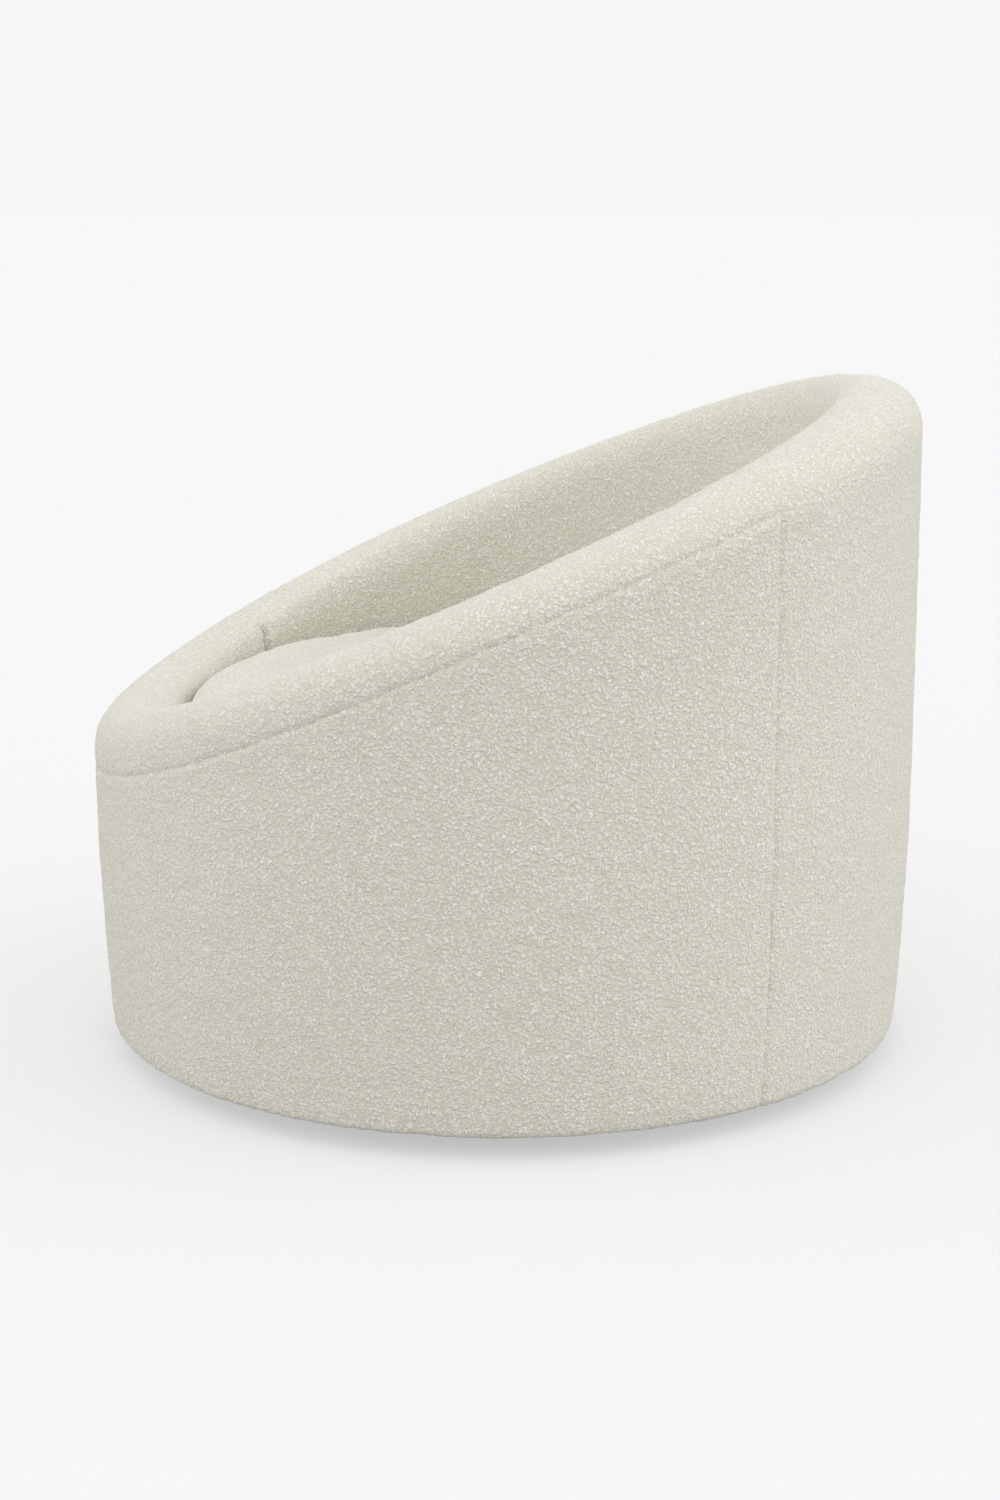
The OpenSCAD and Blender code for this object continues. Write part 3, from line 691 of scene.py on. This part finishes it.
packed = frame["nodes"]["cushion_cover"].data
cushion_middle = Vector((0, 0, (CUSHION_FLOOR + CUSHION_CROWN) / 2))
outer_faces = [f.vertices for f in packed.polygons if f.normal.dot(f.center - cushion_middle) > 0]
packed_outside = BVHTree.FromPolygons([v.co for v in packed.vertices], outer_faces)
DEEPEST_UNDER, DEEPEST_AT_LAST = 0.0014, 0.0024
SMOOTH_TOP, SMOOTH_ROUNDS = 0.026, 14


def hold_outside(points, deepest):
    """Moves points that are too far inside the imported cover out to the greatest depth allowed."""
    for k, point in enumerate(points):
        point = Vector(point)
        nearest, normal = packed_outside.find_nearest(point)[:2]
        if (point - nearest).dot(normal) < -deepest:
            points[k] = nearest - deepest * normal
    return points


cushion.data.vertices.foreach_set("co", hold_outside(settled, DEEPEST_UNDER).ravel())
top_bm = bmesh.new()
top_bm.from_mesh(cushion.data)
top_verts = [v for v in top_bm.verts if v.co.z > CUSHION_CROWN - SMOOTH_TOP]
for _ in range(SMOOTH_ROUNDS):
    bmesh.ops.smooth_vert(top_bm, verts=top_verts, factor=0.5, use_axis_x=True, use_axis_y=True,
                          use_axis_z=True)
top_bm.to_mesh(cushion.data)
top_bm.free()
settled = hold_outside(mesh_points(cushion.data), DEEPEST_AT_LAST)
cushion.data.vertices.foreach_set("co", settled.ravel())
cushion.data.update()
cushion.data.polygons.foreach_set("use_smooth", [True] * len(cushion.data.polygons))
cushion.data.materials.clear()
cushion.data.materials.append(ivory_cloth)
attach(cushion, "seat_cushion")
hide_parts("cushion_cover")
CUSHION_NUBS = 0.0009
raise_nubs(cushion, CUSHION_NUBS)
print(f"cushion: {len(cushion.data.polygons)} faces, top at {settled[:, 2].max():.3f} m")

# %% [markdown]
# ## The cushion's zip
# The cover comes off through a zip across the back of the band. Its tape follows the cushion, so
# each point of the tape is shot from the swivel axis out to the cushion's own surface.

# %% Zip tape and coil
zip_low, zip_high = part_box("cushion_zip")
ZIP_MIDDLE = (zip_low[2] + zip_high[2]) / 2
ZIP_HALF_ANGLE = radians(42)
cushion_tree = BVHTree.FromPolygons([v.co for v in cushion.data.vertices],
                                    [f.vertices for f in cushion.data.polygons])


def cushion_side(a, z):
    """Radius of the cushion's side at an angle from the front and a height."""
    outwards = Vector((sin(a), -cos(a), 0))
    hit = cushion_tree.ray_cast(Vector((0, 0, z)) + 0.2 * outwards, outwards)[0]
    return Vector((hit.x, hit.y)).length if hit else CUSHION_RADIUS


def tape_strip(columns, rows, half_width, stand_off):
    """A strip of tape round the back of the cushion; stand_off gives its height off the cloth."""
    bm = cut_cloth(columns, rows)
    for v in bm.verts:
        a = pi + v.co.x * ZIP_HALF_ANGLE
        across = v.co.y
        r = cushion_side(a, ZIP_MIDDLE + across * half_width) + stand_off(across, v.co.x)
        v.co = (r * sin(a), -r * cos(a), ZIP_MIDDLE + across * half_width)
    return bm


zip_material, zip_tree, zip_shader = new_material("woven_zip_tape", roughness=0.75)
zip_where = object_coordinates(zip_tree)
zip_weave = noise_value(zip_tree, zip_where, 900.0, 1.0)
zip_colour = colour_ramp(zip_tree, zip_weave, (0.3, (0.55, 0.52, 0.44)), (0.7, (0.74, 0.71, 0.62)))
zip_tree.links.new(zip_colour, zip_shader.inputs["Base Color"])
add_bump(zip_tree, zip_shader, zip_weave, 0.0003)
ZIP_TAPE_HALF, ZIP_COIL_HALF, TAPE_PROUD, TEETH_WAVES = 0.011, 0.0024, 0.0009, 1400
tape_bm = tape_strip(240, 8, ZIP_TAPE_HALF,
                     lambda across, along: TAPE_PROUD - 0.0012 * abs(across) ** 6)
tape = finish_piece(tape_bm, "zip_tape", zip_material, "seat_cushion")
coil_bm = tape_strip(900, 6, ZIP_COIL_HALF, lambda across, along: (
    TAPE_PROUD + 0.0009 * (1 - across ** 2) * (0.75 + 0.25 * sin(along * TEETH_WAVES))))
finish_piece(coil_bm, "zip_coil", zip_material, "seat_cushion")
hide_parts("cushion_zip")
print("zip tape and coil laid")

# %% [markdown]
# The slider and its pull are small pressed parts with eased edges, at the left end of the zip.

# %% Zip slider
SLIDER_ANGLE = pi - 0.93 * ZIP_HALF_ANGLE
SLIDER_BODY, PULL = (0.0100, 0.0034, 0.0076), (0.0170, 0.0011, 0.0050)
outwards = Vector((sin(SLIDER_ANGLE), -cos(SLIDER_ANGLE), 0))
slider_place = Matrix.Translation(
    (cushion_side(SLIDER_ANGLE, ZIP_MIDDLE) + 0.0026) * outwards + Vector((0, 0, ZIP_MIDDLE))
) @ outwards.to_track_quat("Y", "Z").to_matrix().to_4x4()
slider_bm = bmesh.new()
bmesh.ops.create_cube(slider_bm, size=1)
bmesh.ops.scale(slider_bm, vec=SLIDER_BODY, verts=slider_bm.verts)
pull = bmesh.ops.create_cube(slider_bm, size=1)["verts"]
bmesh.ops.scale(slider_bm, vec=PULL, verts=pull)
bmesh.ops.translate(slider_bm, vec=(-0.011, 0.0020, 0), verts=pull)
bmesh.ops.bevel(slider_bm, geom=slider_bm.edges[:], offset=0.0004, offset_type="OFFSET",
                affect="EDGES", segments=2, profile=0.5, material=-1)
bmesh.ops.transform(slider_bm, matrix=slider_place, verts=slider_bm.verts)
slider_metal, slider_tree, slider_shader = new_material("zip_slider_metal", 0.35, metallic=1.0)
slider_wear = noise_value(slider_tree, object_coordinates(slider_tree), 700.0, 3.0)
slider_tree.links.new(colour_ramp(slider_tree, slider_wear, (0.3, (0.50, 0.49, 0.46)),
                                  (0.7, (0.72, 0.71, 0.68))), slider_shader.inputs["Base Color"])
add_bump(slider_tree, slider_shader, slider_wear, 0.00008)
slider = finish_piece(slider_bm, "zip_slider_body", slider_metal, "seat_cushion", smooth=False)
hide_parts("zip_slider")

# %% [markdown]
# ## Two plain cloths nobody looks at
# The deck under the cushion is a cotton lining that dips a little between the springs. The dust
# cover under the tub is thin black felted cloth, stapled round both edges, so it sags between them.

# %% Deck cloth and dust cover
def spun_sheet(outline_points, turns):
    """A sheet made by spinning a line of (radius, height) points; it closes at the axis."""
    bm = bmesh.new()
    line = [bm.verts.new((r, 0, z)) for r, z in outline_points]
    edges = [bm.edges.new(pair) for pair in zip(line, line[1:])]
    bmesh.ops.spin(bm, geom=line + edges, cent=(0, 0, 0), axis=(0, 0, 1), dvec=(0, 0, 0),
                   angle=2 * pi, steps=turns, use_merge=True, use_duplicate=False)
    bmesh.ops.remove_doubles(bm, verts=bm.verts, dist=CLOSE_TOLERANCE)
    bmesh.ops.recalc_face_normals(bm, faces=bm.faces)
    return bm


def woven_cloth(name, light, dark, scale, roughness=0.85):
    """Plain weave from two crossed waves on Object coordinates."""
    material, tree, shader = new_material(name, roughness)
    where = object_coordinates(tree)
    threads = [add_node(tree, "ShaderNodeTexWave", Scale=scale, Distortion=0.6, Detail=1.0,
                        bands_direction=way) for way in ("X", "Y")]
    for wave in threads:
        tree.links.new(where, wave.inputs["Vector"])
    slub = noise_value(tree, where, 60.0, 3.0)
    weave = sum_of(tree, (threads[0].outputs["Fac"], 0.4), (threads[1].outputs["Fac"], 0.4),
                   (slub, 0.3))
    colour = colour_ramp(tree, weave, (0.2, dark), (0.85, light))
    tree.links.new(colour, shader.inputs["Base Color"])
    add_bump(tree, shader, weave, 0.0002)
    return material


SHEET_THICKNESS, SPRING_DIP = 0.0006, 0.0009
deck_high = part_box("deck_cloth")[1]
deck_radius, deck_top = deck_high[0], deck_high[2]
deck_radii = np.linspace(0, deck_radius, 70)
deck_bm = spun_sheet([(r, deck_top - SHEET_THICKNESS) for r in deck_radii], 220)
for v in deck_bm.verts:
    edge = smooth_share((deck_radius - v.co.xy.length) / 0.05)
    v.co.z -= SPRING_DIP * edge * (0.5 + 0.5 * slow_wave(v.co.x, v.co.y, 0.0))
if sum(f.normal.z for f in deck_bm.faces) < 0:
    bmesh.ops.reverse_faces(deck_bm, faces=deck_bm.faces)
lining = woven_cloth("cotton_lining", (0.80, 0.77, 0.69), (0.56, 0.52, 0.43), 420.0)
deck_cloth = finish_piece(deck_bm, "deck_lining_cloth", lining, "tub")
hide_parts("deck_cloth")

dust_low, dust_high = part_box("dust_cover")
dust_outer, dust_z = dust_high[0], (dust_low[2] + dust_high[2]) / 2
dust_inner = min(v.co.xy.length for v in frame["nodes"]["dust_cover"].data.vertices)
DUST_SAG = 0.0015
dust_line = [(r, dust_z - DUST_SAG * sin(pi * (r - dust_inner) / (dust_outer - dust_inner)) ** 2)
             for r in np.linspace(dust_inner, dust_outer, 36)]
dust_bm = spun_sheet(dust_line, 240)
if sum(f.normal.z for f in dust_bm.faces) > 0:
    bmesh.ops.reverse_faces(dust_bm, faces=dust_bm.faces)
felted, felted_tree, felted_shader = new_material("black_felted_cloth", roughness=0.95)
felted_where = object_coordinates(felted_tree)
fibres = noise_value(felted_tree, felted_where, 700.0, 4.0, 0.7)
felted_tree.links.new(colour_ramp(felted_tree, fibres, (0.3, (0.012, 0.012, 0.014)),
                                  (0.75, (0.05, 0.05, 0.055))), felted_shader.inputs["Base Color"])
add_bump(felted_tree, felted_shader, fibres, 0.0002)
dust_cloth = finish_piece(dust_bm, "dust_cover_cloth", felted, "tub")
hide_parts("dust_cover")

# %% [markdown]
# ## Finishes for the hard parts
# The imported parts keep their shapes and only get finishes. Each finish is one noise, stretched or
# round, that drives colour, roughness and a small bump: long along the grain for wood, fine and
# even for moulded nylon and plated steel, coarse for foam and felt.

# %% Frame finishes
def grained(name, light, dark, scale, stretch=(1, 1, 1), roughness=0.6, metallic=0.0,
            bump=0.0002, sharpness=3.0, contrast=(0.32, 0.68)):
    material, tree, shader = new_material(name, roughness, metallic)
    mapping = add_node(tree, "ShaderNodeMapping")
    mapping.inputs["Scale"].default_value = stretch
    tree.links.new(object_coordinates(tree), mapping.inputs["Vector"])
    grain = noise_value(tree, mapping.outputs["Vector"], scale, sharpness, 0.6)
    colour = colour_ramp(tree, grain, (contrast[0], dark), (contrast[1], light))
    tree.links.new(colour, shader.inputs["Base Color"])
    uneven = add_node(tree, "ShaderNodeMapRange")
    tree.links.new(grain, uneven.inputs["Value"])
    uneven.inputs["To Min"].default_value = roughness - 0.08
    uneven.inputs["To Max"].default_value = min(1.0, roughness + 0.12)
    tree.links.new(uneven.outputs["Result"], shader.inputs["Roughness"])
    add_bump(tree, shader, grain, bump)
    return material


finishes = {
    "plywood": grained("birch_plywood", (0.66, 0.50, 0.32), (0.46, 0.31, 0.17), 22,
                       stretch=(1, 9, 60), roughness=0.62),
    "softwood": grained("planed_pine", (0.68, 0.50, 0.29), (0.50, 0.33, 0.16), 30,
                        stretch=(9, 9, 1), roughness=0.66),
    "hardboard": grained("brown_hardboard", (0.36, 0.24, 0.14), (0.22, 0.14, 0.08), 160),
    "black_nylon": grained("moulded_black_nylon", (0.035, 0.035, 0.036), (0.02, 0.02, 0.021), 900,
                           roughness=0.48, bump=0.00005),
    "white_nylon": grained("turned_white_nylon", (0.82, 0.81, 0.76), (0.72, 0.71, 0.66), 500,
                           stretch=(1, 1, 8), roughness=0.42, bump=0.00005),
    "zinc_screw": grained("zinc_plated_screw", (0.72, 0.73, 0.75), (0.52, 0.53, 0.56), 420,
                          roughness=0.32, metallic=1.0, bump=0.00004),
    "black_steel": grained("black_painted_steel", (0.05, 0.05, 0.055), (0.025, 0.025, 0.028), 350,
                           roughness=0.40, bump=0.00008),
    "cage_steel": grained("pressed_cage_steel", (0.64, 0.64, 0.66), (0.44, 0.44, 0.46), 260,
                          roughness=0.36, metallic=1.0, bump=0.00005),
    "ball_steel": grained("bearing_ball_steel", (0.82, 0.82, 0.83), (0.70, 0.70, 0.72), 120,
                          roughness=0.16, metallic=1.0, bump=0.00001),
    "clip_steel": grained("spring_clip_steel", (0.60, 0.60, 0.62), (0.42, 0.42, 0.44), 500,
                          roughness=0.40, metallic=1.0, bump=0.00005),
    "spring_steel": grained("oiled_spring_wire", (0.10, 0.10, 0.105), (0.05, 0.05, 0.052), 600,
                            roughness=0.38, metallic=1.0, bump=0.00005),
    "paper_tie": grained("paper_tie_wire", (0.72, 0.66, 0.52), (0.54, 0.48, 0.36), 800,
                         stretch=(1, 5, 5), roughness=0.85),
    "grey_felt": grained("needled_grey_felt", (0.30, 0.31, 0.32), (0.12, 0.12, 0.13), 420,
                         roughness=0.95, bump=0.0008, sharpness=6.0),
    "foam": grained("open_cell_foam", (0.84, 0.76, 0.54), (0.62, 0.53, 0.33), 1100,
                    roughness=0.92, bump=0.0005, sharpness=2.0, contrast=(0.40, 0.60)),
    "wadding": grained("polyester_wadding", (0.90, 0.90, 0.89), (0.72, 0.72, 0.71), 130,
                       roughness=0.97, bump=0.0020, sharpness=7.0),
    "lining_cloth": lining,
    "looped_fabric": ivory_cloth,
    "dust_cloth": felted,
    "zip_tape": zip_material,
}
for part in frame["record"]["subparts"]:
    node = frame["nodes"][part["node"]]
    node.data.materials.clear()
    node.data.materials.append(finishes[part["material_slot"]])
print(f"{len(frame['nodes'])} packed parts in {len(finishes)} finishes")

# %% [markdown]
# ## Floor and light
# The chair stands in a plain pale studio with light from all round it. The floor sends back only
# part of what it looks like, so the contact shadow stays soft and the lower cloth a little darker.
# Two very wide suns, low in front and behind, lighten the two ends of the drum, so it reads as
# round. A third comes over the side and reaches the inside of the far arm.

# %% Floor
FLOOR_RADIUS = 30.0
FLOOR_PAINT, GLOW_SEEN, GLOW_ALWAYS = 0.38, 0.387, 0.10
floor_bm = bmesh.new()
bmesh.ops.create_circle(floor_bm, cap_ends=True, radius=FLOOR_RADIUS, segments=96)
floor_mesh = bpy.data.meshes.new("studio_floor")
floor_bm.to_mesh(floor_mesh)
floor_bm.free()
floor = bpy.data.objects.new("studio_floor", floor_mesh)
floor_material, floor_tree, floor_shader = new_material("matt_white_floor", roughness=1.0)
floor_shader.inputs["Base Color"].default_value = (FLOOR_PAINT, FLOOR_PAINT, FLOOR_PAINT, 1)
floor_shader.inputs["Specular IOR Level"].default_value = 0.0
floor_shader.inputs["Emission Color"].default_value = (1.0, 1.0, 1.0, 1)
glow = add_node(floor_tree, "ShaderNodeMath", operation="MULTIPLY_ADD")
floor_tree.links.new(add_node(floor_tree, "ShaderNodeLightPath").outputs["Is Camera Ray"],
                     glow.inputs[0])
glow.inputs[1].default_value, glow.inputs[2].default_value = GLOW_SEEN, GLOW_ALWAYS
floor_tree.links.new(glow.outputs[0], floor_shader.inputs["Emission Strength"])
floor_mesh.materials.append(floor_material)
scene.collection.objects.link(floor)
print(f"floor disc {2 * FLOOR_RADIUS:.0f} m across")

# %% World and suns
BACKDROP_LIGHT, SKY_LIGHT = 0.92, 0.875
world = bpy.data.worlds.new("studio")
world.use_nodes = True
world_tree = world.node_tree
world_tree.nodes.clear()
seen, lighting = [add_node(world_tree, "ShaderNodeBackground", Strength=s)
                  for s in (BACKDROP_LIGHT, SKY_LIGHT)]
seen.inputs["Color"].default_value = (1.0, 1.0, 1.0, 1)
lighting.inputs["Color"].default_value = (0.99, 0.995, 1.0, 1)
path_kind = add_node(world_tree, "ShaderNodeLightPath")
choose = add_node(world_tree, "ShaderNodeMixShader")
world_tree.links.new(path_kind.outputs["Is Camera Ray"], choose.inputs["Fac"])
world_tree.links.new(lighting.outputs[0], choose.inputs[1])
world_tree.links.new(seen.outputs[0], choose.inputs[2])
world_out = add_node(world_tree, "ShaderNodeOutputWorld")
world_tree.links.new(choose.outputs[0], world_out.inputs["Surface"])
scene.world = world


def wide_sun(name, comes_from, energy, spread):
    """A sun so wide that its shadows are only a soft darkening."""
    data = bpy.data.lights.new(name, "SUN")
    data.energy, data.angle = energy, radians(spread)
    lamp = bpy.data.objects.new(name, data)
    lamp.rotation_euler = Vector(comes_from).to_track_quat("Z", "Y").to_euler()
    scene.collection.objects.link(lamp)


wide_sun("light_from_behind", (0.05, 1.0, 0.15), 1.70, 80)
wide_sun("light_from_the_front", (-0.05, -1.0, 0.12), 0.95, 80)
wide_sun("light_from_the_side", (1.0, -0.2, 1.0), 0.52, 60)
scene.view_settings.view_transform = "Standard"
print("lights set")
